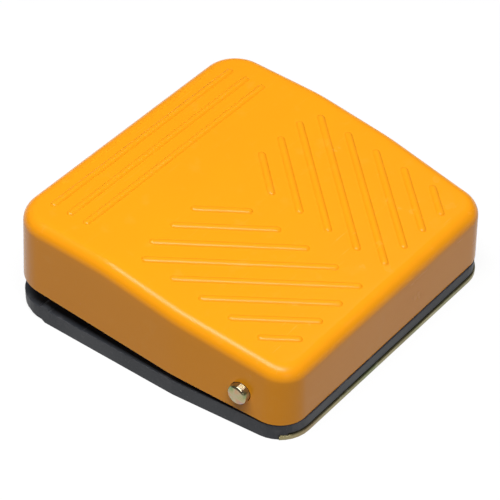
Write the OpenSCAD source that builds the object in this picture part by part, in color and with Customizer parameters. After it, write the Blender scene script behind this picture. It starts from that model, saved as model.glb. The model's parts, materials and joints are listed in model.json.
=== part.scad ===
// Industrial foot switch: a wedge-shaped pedal cover hinged on a steel pin over a
// shallow tray, with return springs and a lever microswitch between them.
// Millimetres, +Z up, +X along the hinge pin, +Y from the heel (hinge) to the toe.
// The origin is the centre of the underside.

/* [Pedal cover] */
// Length of the cover from heel edge to toe edge
cover_len = 81.2; // [70:0.1:110]
// Width of the cover at its heel edge
heel_w = 78.8; // [70:0.1:100]
// Width of the cover where it is widest
waist_w = 83.9; // [72:0.1:110]
// Width of the cover at its toe edge
toe_w = 83.4; // [70:0.1:110]
// Distance of the widest place from the heel edge
waist_from_heel = 31; // [20:0.5:45]
// Height of the cover's top over its lower edge, at the heel
heel_h = 15.5; // [13:0.1:20]
// Height of the cover's top over its lower edge, at the bend
bend_h = 20; // [18:0.1:26]
// Height of the cover's top over its lower edge, at the toe
toe_h = 18.9; // [17:0.1:26]
// Distance of the bend in the top from the heel edge
bend_from_heel = 52.1; // [48:0.1:60]
// Radius of the two heel corners
heel_corner_r = 7.6; // [6:0.1:10]
// Radius of the two toe corners
toe_corner_r = 9.7; // [8:0.1:14]
// Radius of the rounded top edges
edge_r = 3.4; // [2.6:0.1:5]
// Inward lean of the side walls from lower edge to top
draft = 0.5; // [0.2:0.1:1.2]
// Angle by which the toe wall leans outwards, so that it stands nearly upright at rest
toe_lean = 2.4; // [0:0.1:3.5]
// Angle by which the heel wall leans inwards over its lower edge
heel_lean = 1.3; // [0:0.1:3]
// Thickness of the side walls
cover_wall = 1.8; // [1.4:0.1:2.2]
// Thickness of the top wall
cover_top = 2.4; // [1.8:0.1:3]

/* [Tread ribs] */
// Width of a tread rib
rib_w = 1.9; // [1.2:0.1:2.6]
// Height of a tread rib
rib_h = 0.5; // [0.3:0.05:0.8]
// Half length of the three straight ribs near the toe
long_rib_half = 33; // [20:0.5:34]
// Distance of the first straight rib from the toe edge
long_rib_from_toe = 7.3; // [7:0.1:10]
// Spacing of the straight ribs
long_rib_pitch = 4.95; // [4:0.05:6]
// Angle of the slanting ribs from the hinge line
slant = 48.2; // [40:0.1:55]
// Half length of the gap between the left and right slanting ribs
slant_gap = 3.8; // [2.5:0.1:6]
// Outer reach of the slanting ribs from the middle
slant_reach = 33.4; // [24:0.1:34]
// Spacing of the slanting ribs along the pedal
slant_pitch = 8.33; // [7.5:0.01:9]
// Where the first slanting rib's line meets the middle, from the heel edge
slant_first = 34.4; // [32:0.1:36]
// Heel end of the slanting field, from the heel edge
slant_heel = 6.3; // [5:0.1:8]
// Toe end of the slanting field, from the heel edge
slant_toe = 49.0; // [44:0.1:50]

/* [Hinge] */
// Diameter of the hinge pin
pin_d = 5; // [4:0.1:6]
// Distance of the pin from the cover's heel edge
pin_from_heel = 12.3; // [11:0.1:16]
// Height of the pin over the cover's lower edge
edge_drop = 5.6; // [5:0.1:7]
// Length of pin that stands out of each side
pin_proud = 1.6; // [0.5:0.1:2]
// Angle between the cover's lower edge and the tray at rest
rest_tilt = 3.9; // [2:0.1:4.5]
// Radial running clearance of the cover on the pin
pin_clear = 0.05; // [0.02:0.01:0.1]
// Thickness of a thrust washer
washer_t = 0.6; // [0.4:0.1:0.8]

/* [Base] */
// Height of the tray's ledge over the floor that the switch stands on
ledge_z = 4.25; // [4:0.05:5]
// Gap between the ledge and the pressed cover's lower edge
press_gap = 1.05; // [0.9:0.05:1.5]
// Inset of the tray's sides from the cover's lower edge
tray_inset = 0.3; // [0.1:0.1:1]
// Radius of the base's two heel corners
base_corner_r = 8.4; // [6:0.1:10]
// Thickness of the tray's floor
tray_floor = 1.2; // [1:0.1:1.6]
// Width of the ledge that runs round the tray
ledge_w = 5.4; // [4.5:0.1:5.4]
// Thickness of the skirt that hides the plate's edge
skirt_w = 1.5; // [1.2:0.1:2]
// Thickness of the steel base plate
plate_t = 1.2; // [1:0.1:2]
// Length of the heel strip where the plate shows
heel_strip = 3.1; // [2.5:0.1:6]
// Length by which the plate stands out past the cover's heel edge
plate_proud = 0.5; // [0.1:0.05:1]
// Shadow gap between the plate and the tray at the heel
heel_gap = 0.5; // [0.4:0.1:0.8]
// Length at each end of the strip where the tray sits on the plate
gap_short = 1.4; // [0.8:0.1:2]
// Step from the plate's heel edge in to the tray's
heel_step = 0.3; // [0.1:0.05:0.6]
// Height of a landing rib over the ledge
landing_h = 0.85; // [0.5:0.05:0.9]
// Length of a landing rib along the ledge
landing_w = 2.9; // [2:0.1:4]
// Distance of the landing ribs from the toe edge
landing_from_toe = 11.6; // [10:0.1:14]
// Distance from the toe edge at which the tray's lower edge begins to rise
rise_from_toe = 11.4; // [11:0.1:14]
// Length over which the tray's lower edge rises
rise_l = 1.8; // [1:0.1:3]
// Depth of the tray's set-back lower edge round the toe
set_back = 0.5; // [0.4:0.1:1.2]
// Distance between the two floor fixing holes
fix_pitch = 50; // [44:1:56]
// Diameter of a floor fixing hole
fix_d = 4.5; // [4:0.1:5]

/* [Return springs] */
// Distance of each spring from the middle
spring_x = 22; // [18:0.5:24]
// Position of the springs along the pedal
spring_y = 17; // [14:0.5:19]
// Outside diameter of a spring
spring_d = 9; // [8:0.1:10]
// Wire diameter of a spring
wire_d = 1; // [0.8:0.1:1.2]
// Turns of a spring
turns = 7; // [5:1:8]

/* [Microswitch] */
// Length of the switch case
case_l = 19.8; // [19:0.1:21]
// Width of the switch case
case_w = 6.4; // [6.4:0.1:8]
// Height of the switch case
case_h = 10.2; // [10:0.1:11]
// Height of the case's underside
case_z = 7.2; // [7:0.1:7.6]
// Position of the middle of the case along the pedal
case_y = -3.5; // [-5:0.1:-2]
// Length of a terminal below the case
terminal_l = 4.2; // [3:0.1:4.4]
// Distance of the adjusting screw's tip from the lever's pivot
lever_arm = 17; // [16:0.1:17.5]
// Travel of the switch plunger
plunger_travel = 0.75; // [0.5:0.05:0.9]
// Angle of the lever at rest
lever_rest = 7.7; // [6:0.1:8]

/* [Cable inlet] */
// Bore of the cable grommet
cable_d = 6.2; // [5:0.1:6.4]
// Height of the cable's axis
cable_z = 8.6; // [8.4:0.1:9]
// Length by which the grommet's collar stands out past the cover's toe edge
grommet_proud = 0.5; // [0.2:0.05:1]

/* [Hidden] */
$fn = 48;
eps = 0.01;

amber = "#f7a81c";
graphite = "#46484d";
zinc = "#a59a62";
steel = "#c3c6c9";
brass = "#c9a24a";
black = "#232427";

heel_y = -cover_len / 2;
toe_y = cover_len / 2;
waist_y = heel_y + waist_from_heel;
bend_y = heel_y + bend_from_heel;
pin_y = heel_y + pin_from_heel;
edge_z = ledge_z + press_gap;
pin_z = edge_z + edge_drop;
heel_slope = atan((bend_h - heel_h) / bend_from_heel);
toe_slope = atan((toe_h - bend_h) / (cover_len - bend_from_heel));
// Height over the lower edge at which the leaning walls stand at their drawn length.
lean_z = 16;
floor_z = plate_t + tray_floor;
pin_half = half_w(pin_y) + pin_proud;
boss_x = half_w(pin_y) - cover_wall - 1.6;
ear_x = boss_x - 0.15 - washer_t - 0.05;
clip_t = 0.6;
clip_x = ear_x - plate_t - 0.05;
ear_r = 5;
washer_d = 9.4;

case_top = case_z + case_h;
pivot_y = case_y - case_l / 2 + 1.4;
pivot_z = case_top + 1.3;
lever_t = 0.4;
plunger_y = pivot_y + 5.6;
tip_y = pivot_y + lever_arm;
tip_z = pivot_z + lever_t + 0.15;
lever_eye_r = 1;
grommet_d = cable_d + 3.4;
nut_t = 1.8;
tap_d = 2.5;
screw_d = 3;

// Shift of a leaning heel or toe wall towards the toe, at a height over the lower edge.
function lean(height, angle) = (height - lean_z) * tan(angle);

// Half width of the cover's lower edge at y.
function half_w(y) = y < waist_y
    ? (heel_w + (waist_w - heel_w) * (y - heel_y) / waist_from_heel) / 2
    : (waist_w + (toe_w - waist_w) * (y - waist_y) / (toe_y - waist_y)) / 2;

// Height of the top surface at y, with the lower edge level.
function top_z(y) = edge_z + (y < bend_y
    ? heel_h + (bend_h - heel_h) * (y - heel_y) / bend_from_heel
    : bend_h + (toe_h - bend_h) * (y - bend_y) / (toe_y - bend_y));

// Outline of the right half, from heel to toe, moved in by d, with heel corners of radius r.
// The heel end moves by back and the toe end by fore, towards the toe.
function right_side(d, r, back, fore) =
    let (taper = atan((waist_w - heel_w) / 2 / waist_from_heel),
         rise = atan((waist_w - toe_w) / 2 / (toe_y - waist_y)),
         hr = r - d, tr = toe_corner_r - d,
         hy = heel_y + r, ty = toe_y - toe_corner_r,
         hx = half_w(hy) - r / cos(taper),
         tx = half_w(ty) - toe_corner_r / cos(rise))
    concat([for (i = [0:8]) let (a = -90 + i * (90 - taper) / 8)
               [hx + hr * cos(a), hy + back + hr * sin(a)]],
           [[waist_w / 2 - d, waist_y]],
           [for (i = [0:10]) let (a = rise + i * (90 - rise) / 10)
               [tx + tr * cos(a), ty + fore + tr * sin(a)]]);

module outline(d, r = heel_corner_r, back = 0, fore = 0) {
    right = right_side(d, r, back, fore);
    count = len(right);
    polygon(concat(right, [for (i = [1:count]) [-right[count - i][0], right[count - i][1]]]));
}

// Tilts a pedal piece from the pressed place, in which it is drawn, to its place at rest.
module at_rest() {
    translate([0, pin_y, pin_z]) rotate([rest_tilt, 0, 0]) translate([0, -pin_y, -pin_z]) children();
}

module mirror_x() {
    children();
    mirror([1, 0, 0]) children();
}

module along_x(x0, x1, r) {
    translate([x0, 0, 0]) rotate([0, 90, 0]) cylinder(h = x1 - x0, r = r);
}

module ring(major, minor) {
    rotate_extrude($fn = 36) intersection() {
        translate([major, 0]) circle(r = minor, $fn = 24);
        translate([0, -minor]) square([major + minor, 2 * minor]);
    }
}

// Convex body of the cover, moved in by wall at the sides and by roof at the top.
module cover_form(wall, roof, depth) {
    r = edge_r - wall * 0.55;
    // Each end is a ring under the top; small rings at waist and bend keep the top exactly flat.
    ends = [[heel_y + heel_corner_r, heel_corner_r, heel_slope, heel_lean],
            [toe_y - toe_corner_r, toe_corner_r, toe_slope, toe_lean]];
    kinks = [[waist_y, heel_slope], [bend_y, heel_slope], [bend_y, toe_slope]];
    hull() {
        translate([0, 0, edge_z - depth]) linear_extrude(0.1)
            outline(wall, back = lean(-depth, heel_lean), fore = lean(-depth, toe_lean));
        mirror_x() {
            for (end = ends) let (y = end[0] + lean(top_z(end[0]) - edge_z, end[3]))
                translate([half_w(end[0]) - end[1], y, top_z(y) - roof - r])
                    rotate([end[2], 0, 0]) ring(end[1] - draft - wall - r, r);
            for (kink = kinks)
                translate([half_w(kink[0]) - draft - wall - r - 0.5, kink[0], top_z(kink[0]) - roof - r])
                    rotate([kink[1], 0, 0]) ring(0.5, r);
        }
    }
}

// Depth to which a tread rib is rooted in the roof.
rib_root = 1.1;

// Tread rib on the top surface from one plan point to another, with round ends.
module tread_rib(a, b) {
    slope = a[1] < bend_y ? heel_slope : toe_slope;
    y_of = function(p) (p[1] - a[1]) / cos(slope);
    run = [b[0] - a[0], y_of(b)];
    translate([a[0], a[1], top_z(a[1])]) rotate([slope, 0, 0]) rotate([0, 0, atan2(run[1], run[0])])
        translate([0, 0, -rib_root]) {
            translate([0, -rib_w / 2, 0]) cube([norm(run), rib_w, rib_root + rib_h]);
            for (x = [0, norm(run)]) translate([x, 0, 0]) cylinder(h = rib_root + rib_h, d = rib_w, $fn = 24);
        }
}

module tread_ribs() {
    for (i = [0:2]) {
        y = toe_y - long_rib_from_toe - i * long_rib_pitch;
        tread_rib([-long_rib_half, y], [long_rib_half, y]);
    }
    climb = tan(slant);
    y_low = heel_y + slant_heel;
    y_high = heel_y + slant_toe;
    mirror_x() for (i = [0:7]) {
        y0 = heel_y + slant_first - i * slant_pitch;
        inner = max(slant_gap, (y_low - y0) / climb);
        outer = min(slant_reach, (y_high - y0) / climb);
        tread_rib([inner, y0 + climb * inner], [outer, y0 + climb * outer]);
    }
}

// Thin stiffening web under the cover's roof, from y0 to y1.
module roof_web(x, y0, y1, depth) {
    web = 1.4;
    skin = cover_top - 0.6;
    translate([x - web / 2, 0, 0]) rotate([90, 0, 90]) linear_extrude(web) polygon([
        [y0, top_z(y0) - skin], [bend_y, top_z(bend_y) - skin], [y1, top_z(y1) - skin],
        [y1, top_z(y1) - cover_top - depth], [bend_y, top_z(bend_y) - cover_top - depth],
        [y0, top_z(y0) - cover_top - depth]]);
}

// Sockets under the roof take the tops of the springs.
spring_seat_z = 17.6;
spring_mouth_z = 13.4;
socket_d = spring_d + 2.2;
notch_w = grommet_d + 4.4;
notch_z = cable_z + grommet_d / 2 + 2;

module pedal_cover() color(amber) at_rest() difference() {
    union() {
        difference() {
            cover_form(0, 0, 0);
            cover_form(cover_wall, cover_top, 1);
        }
        tread_ribs();
        mirror_x() {
            translate([0, pin_y, pin_z]) along_x(boss_x, half_w(pin_y) - cover_wall / 2, 4.7);
            translate([spring_x, spring_y, spring_mouth_z])
                cylinder(h = top_z(spring_y) - cover_top / 2 - spring_mouth_z, d = socket_d + 2.4);
            roof_web(12, pin_y, toe_y - 8, 3);
            roof_web(31, pin_y + 9, toe_y - 12, 3);
        }
        translate([0, tip_y, tip_z + nut_t + 0.6])
            cylinder(h = top_z(tip_y) - cover_top / 2 - tip_z - nut_t - 0.6, d = 7);
    }
    mirror_x() {
        translate([spring_x, spring_y, spring_mouth_z - eps])
            cylinder(h = spring_seat_z - spring_mouth_z + eps, d = socket_d);
        translate([0, pin_y, pin_z]) along_x(half_w(pin_y) - 1, half_w(pin_y) + 3, pin_d / 2 + 0.8);
    }
    translate([0, pin_y, pin_z]) along_x(-waist_w, waist_w, pin_d / 2 + pin_clear);
    translate([0, tip_y, tip_z]) cylinder(h = top_z(tip_y) - tip_z - 0.9, d = screw_d);
    translate([0, toe_y + 4, edge_z - 1]) rotate([90, 0, 0]) linear_extrude(10) {
        translate([-notch_w / 2, 0]) square([notch_w, notch_z - notch_w / 2 - edge_z + 1]);
        translate([0, notch_z - notch_w / 2 - edge_z + 1]) circle(d = notch_w);
    }
}

landing_y = toe_y - landing_from_toe;
landing_r = (pow(landing_w / 2, 2) + pow(landing_h, 2)) / (2 * landing_h);
plate_screw_at = [[28, toe_y - 12.6], [28, pin_y + 14.3]];
bracket_screw_at = [[8.6, case_y - 5], [8.6, case_y + 5]];
cup_d = spring_d + 3.2;
gate_y = toe_y - 4.6;
gate_t = 1.6;
clamp_y = gate_y - 7.5;
clamp_screw_at = [[8, clamp_y], [-8, clamp_y]];
earth_at = [-18, gate_y - 4.5];

module boss(at, z_top, d = 6) {
    translate([at[0], at[1], floor_z - eps]) cylinder(h = z_top - floor_z + eps, d = d);
}

module pilot(at, z_top, depth) {
    translate([at[0], at[1], z_top - depth]) cylinder(h = depth + 1, d = tap_d);
}

// The tray's heel wall stands a small step inside the plate's edge.
tray_back = plate_proud + tray_inset - heel_step;
bracket_seat_z = floor_z + 1.2;
clamp_seat_z = cable_z + 0.4;
fix_boss_z = floor_z + 1.5;

module base_outline(d, back = 0) {
    outline(d, base_corner_r, back);
}

module base_tray() color(graphite) difference() {
    union() {
        difference() {
            linear_extrude(ledge_z) base_outline(tray_inset, -tray_back);
            translate([0, 0, floor_z]) linear_extrude(ledge_z) base_outline(tray_inset + ledge_w);
        }
        // Landing ribs, where the pressed cover comes to rest.
        mirror_x() translate([0, landing_y, ledge_z + landing_h - landing_r])
            along_x(half_w(landing_y) - 4, half_w(landing_y) - tray_inset, landing_r);
        mirror_x() {
            for (p = plate_screw_at) boss(p, ledge_z + 1.6, 6.4);
            translate([fix_pitch / 2, 0, floor_z - eps]) cylinder(h = fix_boss_z - floor_z, d = fix_d + 4);
            translate([spring_x, spring_y, floor_z - eps]) difference() {
                cylinder(h = 3.4, d = cup_d);
                cylinder(h = 4, d = spring_d + 0.6);
            }
            translate([spring_x, spring_y, floor_z - eps]) cylinder(h = 4.6, d = spring_d - 2 * wire_d - 0.8);
        }
        for (p = bracket_screw_at) boss(p, bracket_seat_z, 6);
        for (p = clamp_screw_at) boss(p, clamp_seat_z, 6);
        // Gate that holds the cable grommet behind the cover's notch.
        translate([-14, gate_y - gate_t, floor_z - eps]) cube([28, gate_t, 17 - floor_z]);
        for (x = [-13.2, 12]) translate([x, gate_y - 6, floor_z - eps]) cube([1.2, 5, 6]);
    }
    // Recess for the steel plate, open at the heel.
    translate([0, 0, -1]) linear_extrude(1 + plate_t) base_outline(tray_inset + skirt_w);
    translate([-waist_w, heel_y - 5, -1]) cube([2 * waist_w, heel_strip + 5, 1 + plate_t]);
    translate([-waist_w, heel_y - 5, -1])
        cube([2 * waist_w, heel_strip - gap_short + 5, 1 + plate_t + heel_gap]);
    // Lower edge set back round the toe, with a ramp where it begins.
    difference() {
        translate([-waist_w, toe_y - rise_from_toe, 0]) rotate([90, 0, 90]) linear_extrude(2 * waist_w)
            polygon([[0, -1], [0, 0], [rise_l, plate_t],
                     [2 * rise_from_toe, plate_t], [2 * rise_from_toe, -1]]);
        translate([0, 0, -2]) linear_extrude(5) base_outline(tray_inset + set_back, -tray_back);
    }
    mirror_x() {
        translate([ear_x - plate_t - 0.3, pin_y - ear_r - 0.6, -1])
            cube([plate_t + 0.6, 2 * ear_r + 1.2, 10]);
        translate([fix_pitch / 2, 0, -1]) cylinder(h = 10, d = fix_d);
        for (p = plate_screw_at) translate([p[0], p[1], 0]) cylinder(h = ledge_z + 0.6, d = tap_d);
    }
    for (p = bracket_screw_at) pilot(p, bracket_seat_z, 2);
    for (p = clamp_screw_at) pilot(p, clamp_seat_z, 5);
    translate([earth_at[0], earth_at[1], 0]) cylinder(h = 10, d = 10);
    translate([0, gate_y - gate_t - 1, cable_z]) rotate([-90, 0, 0]) cylinder(h = gate_t + 2, d = grommet_d);
    translate([0, gate_y, cable_z]) rotate([-90, 0, 0]) cylinder(h = 10, d = grommet_d + 2.4);
}

module plate_outline() {
    offset_in = tray_inset + skirt_w + 0.15;
    intersection() {
        base_outline(offset_in);
        translate([-waist_w, heel_y + heel_strip - 1]) square([2 * waist_w, 2 * waist_w]);
    }
    // Full-width tail that shows at the heel.
    intersection() {
        base_outline(0, -plate_proud);
        translate([-waist_w, heel_y - plate_proud]) square([2 * waist_w, plate_proud + heel_strip - 0.15]);
    }
}

module base_plate() color(zinc) difference() {
    union() {
        linear_extrude(plate_t) plate_outline();
        mirror_x() translate([ear_x - plate_t, pin_y, 0]) {
            translate([0, -ear_r, plate_t / 2]) cube([plate_t, 2 * ear_r, pin_z - plate_t / 2]);
            translate([0, 0, pin_z]) along_x(0, plate_t, ear_r);
        }
    }
    translate([0, pin_y, pin_z]) along_x(-waist_w, waist_w, pin_d / 2 + 0.02);
    mirror_x() {
        translate([fix_pitch / 2, 0, -1]) cylinder(h = 4, d = fix_d);
        for (p = plate_screw_at) translate([p[0], p[1], 0]) {
            translate([0, 0, -1]) cylinder(h = 4, d = screw_d + 0.2);
            translate([0, 0, -eps]) cylinder(h = plate_t - 0.1, d1 = 5.8, d2 = screw_d + 0.2);
        }
    }
    translate([earth_at[0], earth_at[1], -1]) cylinder(h = 4, d = tap_d);
}

pin_chamfer = 0.4;
groove_d = pin_d - 1;

// Turned pin with chamfered ends and a groove for each clip.
module hinge_pin() color(zinc) {
    right = [[pin_d, clip_x - clip_t - 0.05], [groove_d, clip_x - clip_t - 0.05], [groove_d, clip_x + 0.05],
             [pin_d, clip_x + 0.05], [pin_d, pin_half - pin_chamfer], [pin_d - 2 * pin_chamfer, pin_half],
             [0, pin_half]];
    count = len(right);
    profile = concat([for (i = [1:count]) [right[count - i][0] / 2, -right[count - i][1]]],
                     [for (p = right) [p[0] / 2, p[1]]]);
    translate([0, pin_y, pin_z]) rotate([0, 90, 0]) rotate_extrude() polygon(profile);
}

module pin_clips() color(steel) mirror_x() translate([0, pin_y, pin_z]) difference() {
    along_x(clip_x - clip_t, clip_x, 4.4);
    along_x(clip_x - 1, clip_x + 1, groove_d / 2 + 0.03);
    translate([clip_x - 1, -1.5, -6]) cube([2, 3, 6]);
}

module thrust_washers() color(steel) mirror_x() translate([0, pin_y, pin_z]) difference() {
    along_x(ear_x + 0.05, ear_x + 0.05 + washer_t, washer_d / 2);
    along_x(ear_x - 1, ear_x + 3, pin_d / 2 + 0.05);
}

spring_foot_z = floor_z + wire_d / 2;
spring_top_z = pin_z + (spring_y - pin_y) * sin(rest_tilt)
    + (spring_seat_z - pin_z) * cos(rest_tilt) - wire_d / 2 - 0.45;

// One coil spring as a swept wire; end turns lie close together.
module coil() {
    sides = 6;
    steps = 14;
    total = turns * steps;
    r = (spring_d - wire_d) / 2;
    travel = spring_top_z - spring_foot_z - 2 * wire_d;
    function level(i) = let (t = i / steps) t < 1 ? t * wire_d
        : t > turns - 1 ? travel + wire_d + (t - turns + 1) * wire_d
        : wire_d + travel * (t - 1) / (turns - 2);
    points = [for (i = [0:total]) let (a = 360 * i / steps) for (j = [0:sides - 1])
        let (b = 360 * j / sides, q = r + wire_d / 2 * cos(b))
        [q * cos(a), q * sin(a), level(i) + wire_d / 2 * sin(b)]];
    sides_faces = [for (i = [0:total - 1]) for (j = [0:sides - 1])
        let (k = (j + 1) % sides, a = i * sides)
        [a + j, a + k, a + sides + k, a + sides + j]];
    start_face = [[for (j = [sides - 1:-1:0]) j]];
    end_face = [[for (j = [0:sides - 1]) total * sides + j]];
    faces = concat(sides_faces, start_face, end_face);
    polyhedron(points, [for (f = faces) [for (v = [len(f) - 1:-1:0]) f[v]]]);
}

module return_spring_left() color(steel) translate([-spring_x, spring_y, spring_foot_z]) coil();
module return_spring_right() color(steel) translate([spring_x, spring_y, spring_foot_z]) coil();

// The switch case is an open box, closed on its right by the lid.
case_wall = 1;
lid_t = 0.9;
screw_pitch = 9.5;
switch_screw_d = 2;
switch_screw_z = case_z + 2.9;
cavity_z = case_z + 1.6;
cavity_top = case_top - 1.4;
terminal_at = [case_y - case_l / 2 + 2.6, case_y + 0.4, case_y + case_l / 2 - 1.7];
blade_z = case_z + 5.7;
blade_y = case_y - case_l / 2 + 3.1;
blade_hinge_y = blade_y + 0.5;
contact_y = case_y + case_l / 2 - 2.1;
contact_d = 1.6;
blade_drop = 0.55;

module switch_holes() {
    for (s = [-1, 1]) translate([0, case_y + s * screw_pitch / 2, switch_screw_z])
        along_x(-10, 10, switch_screw_d / 2 + 0.1);
}

module switch_case() color(black) difference() {
    union() {
        translate([-case_w / 2, case_y - case_l / 2, case_z]) cube([case_w - lid_t, case_l, case_h]);
        translate([0, pivot_y, pivot_z]) along_x(-1.1, 1.1, lever_eye_r);
        translate([-1.1, pivot_y - 1, case_top - 0.1]) cube([2.2, 2, pivot_z - case_top + 0.1]);
    }
    difference() {
        translate([-case_w / 2 + case_wall, case_y - case_l / 2 + case_wall, cavity_z])
            cube([case_w, case_l - 2 * case_wall, cavity_top - cavity_z]);
        for (s = [-1, 1]) translate([0, case_y + s * screw_pitch / 2, switch_screw_z])
            along_x(-case_w / 2, case_w / 2, 1.6);
    }
    switch_holes();
    translate([0, pivot_y, pivot_z]) along_x(-5, 5, 0.56);
    translate([-1, plunger_y - 1.6, cavity_top - 1]) cube([2, 3.2, 4]);
    for (y = terminal_at) translate([-0.3, y - 1.65, case_z - 1]) cube([0.6, 3.3, 4]);
}

module switch_lid() color("#7c2a22") difference() {
    translate([case_w / 2 - lid_t, case_y - case_l / 2, case_z]) cube([lid_t, case_l, case_h]);
    switch_holes();
}

// Drawn at rest, one travel above the pressed place.
module switch_plunger() color("#b8332a") {
    bottom = blade_z + 1.3;
    top = pivot_z - 0.1 + plunger_travel;
    translate([-0.9, plunger_y - 1.5, bottom]) cube([1.8, 3, case_top + 0.1 - bottom]);
    translate([-0.9, plunger_y - 0.9, case_top]) cube([1.8, 1.8, top - 0.9 - case_top]);
    translate([0, plunger_y, top - 0.9]) along_x(-0.9, 0.9, 0.9);
    translate([-1.4, plunger_y - 2.2, cavity_top - 0.75]) cube([2.8, 4.4, 0.7]);
}

module terminal_tab(y) {
    difference() {
        translate([-0.25, y - 1.6, case_z - terminal_l]) cube([0.5, 3.2, terminal_l + 2.4]);
        translate([0, y, case_z - terminal_l + 1.8]) along_x(-1, 1, 0.8);
    }
}

// The moving blade turns on its rolled end, beside the common terminal's post.
module contact_blade() color(brass) {
    translate([-1, blade_hinge_y, blade_z]) cube([2, contact_y - blade_hinge_y + 0.8, 0.3]);
    translate([0, blade_hinge_y, blade_z + 0.15]) along_x(-1, 1, 0.4);
    translate([0, contact_y, blade_z - 0.35]) cylinder(h = 1, d = contact_d, $fn = 24);
}

module common_terminal() color(brass) {
    terminal_tab(terminal_at[0]);
    translate([-0.9, blade_y - 1.6, case_z + 2]) cube([1.8, 1.6, 0.4]);
    translate([-0.9, blade_y - 0.5, case_z + 2.2]) cube([1.8, 0.5, blade_z + 0.6 - case_z - 2.2]);
}

open_contact_z = blade_z - 0.35 - blade_drop - 0.15;
closed_contact_z = blade_z + 0.65 + 0.05;

module open_terminal() color(brass) {
    terminal_tab(terminal_at[2]);
    translate([-0.9, contact_y - 0.8, case_z + 2]) cube([1.8, 1.6, open_contact_z - 0.4 - case_z - 2]);
    translate([0, contact_y, open_contact_z - 0.5]) cylinder(h = 0.5, d = contact_d, $fn = 24);
}

// Its arm climbs past the blade and carries a contact over the blade's tip.
module closed_terminal() color(brass) {
    arm_x = -case_w / 2 + case_wall + 0.2;
    top = closed_contact_z + 0.35;
    terminal_tab(terminal_at[1]);
    translate([arm_x, terminal_at[1] - 1.4, case_z + 2]) cube([0.2 - arm_x, 1.4, 0.4]);
    translate([arm_x, terminal_at[1] - 1.4, case_z + 2]) cube([0.4, 1.4, top + 0.8 - case_z - 2]);
    translate([arm_x, terminal_at[1] - 1.4, top]) cube([0.4, contact_y + 0.8 - terminal_at[1] + 1.4, 0.8]);
    translate([arm_x, contact_y - 0.8, top]) cube([0.9 - arm_x, 1.6, 0.4]);
    translate([0, contact_y, closed_contact_z]) cylinder(h = 0.5, d = contact_d, $fn = 24);
}

module switch_lever() color(steel) translate([0, pivot_y, pivot_z]) rotate([lever_rest, 0, 0]) difference() {
    union() {
        translate([-2.1, 1.3, 0]) cube([4.2, lever_arm + 1, lever_t]);
        for (x = [-2.1, 1.7]) {
            translate([x, 0, 0]) along_x(0, 0.4, lever_eye_r);
            translate([x, 0, -0.8]) cube([0.4, 3.4, 0.8 + lever_t]);
        }
    }
    along_x(-4, 4, 0.57);
    along_x(-1.7, 1.7, 1.5);
}

module lever_pin() color(steel) translate([0, pivot_y, pivot_z]) along_x(-2.5, 2.5, 0.53);

nut_w = 4;
bracket_t = 1;
bracket_x = case_w / 2 + 0.05;
module hex_nut_x(x0, thick, across) {
    translate([x0, 0, 0]) rotate([0, 90, 0]) cylinder(h = thick, d = across / cos(30), $fn = 6);
}

module switch_screws() color(steel) for (s = [-1, 1])
    translate([0, case_y + s * screw_pitch / 2, switch_screw_z]) {
        along_x(-case_w / 2 - 0.5, bracket_x + bracket_t + 2.2, switch_screw_d / 2);
        along_x(-case_w / 2 - 1.3, -case_w / 2 - 0.05, 1.9);
    }

module switch_nuts() color(steel) for (s = [-1, 1])
    translate([0, case_y + s * screw_pitch / 2, switch_screw_z]) difference() {
        hex_nut_x(bracket_x + bracket_t, 1.6, nut_w);
        along_x(0, 20, switch_screw_d / 2 + 0.02);
    }

module switch_bracket() color(zinc) difference() {
    union() {
        translate([bracket_x, case_y - case_l / 2 + 1, bracket_seat_z]) cube([bracket_t, case_l - 2, 9.4]);
        translate([bracket_x, case_y - case_l / 2 + 1, bracket_seat_z]) cube([9, case_l - 2, bracket_t]);
    }
    switch_holes();
    for (p = bracket_screw_at) translate([p[0], p[1], 0]) cylinder(h = 10, d = screw_d + 0.3);
}

// Pan-head screw with its seat at z = 0 and its shank down.
module pan_screw(length, d = screw_d, head = 5.4, head_h = 1.7) {
    difference() {
        union() {
            translate([0, 0, -length]) cylinder(h = length + eps, d = d - 0.5);
            cylinder(h = head_h, d = head);
        }
        for (a = [0, 90]) rotate([0, 0, a]) translate([-1.5, -0.3, head_h - 0.8]) cube([3, 0.6, 1]);
    }
}

module bracket_screws() color(steel) for (p = bracket_screw_at)
    translate([p[0], p[1], bracket_seat_z + bracket_t]) pan_screw(2.8);

module adjusting_screw() color(steel) at_rest() translate([0, tip_y, tip_z]) difference() {
    union() {
        translate([0, 0, 0.4]) cylinder(h = top_z(tip_y) - tip_z - 1.6, d = screw_d - 0.04);
        cylinder(h = 0.4, d1 = screw_d - 0.8, d2 = screw_d - 0.04);
    }
    rotate([0, 0, 15]) translate([-2, -0.25, -1]) cube([4, 0.5, 1.6]);
}

module adjusting_nut() color(steel) at_rest() translate([0, tip_y, tip_z + 0.6]) difference() {
    cylinder(h = nut_t, d = 5.5 / cos(30), $fn = 6);
    translate([0, 0, -1]) cylinder(h = 6, d = screw_d);
}

module cable_grommet() color(black) translate([0, gate_y, cable_z]) rotate([-90, 0, 0]) difference() {
    union() {
        translate([0, 0, -gate_t - 1.6]) cylinder(h = 1.55, d = grommet_d + 2.4);
        translate([0, 0, -gate_t - 0.5]) cylinder(h = gate_t + 1, d = grommet_d - 0.1);
        translate([0, 0, 0.05])
            cylinder(h = toe_y + grommet_proud - gate_y - 0.05, d1 = grommet_d + 1.6, d2 = grommet_d + 0.8);
    }
    translate([0, 0, -10]) cylinder(h = 20, d = cable_d);
}

clamp_half = 11;
clamp_w = 6;
clamp_t = 1;

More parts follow.
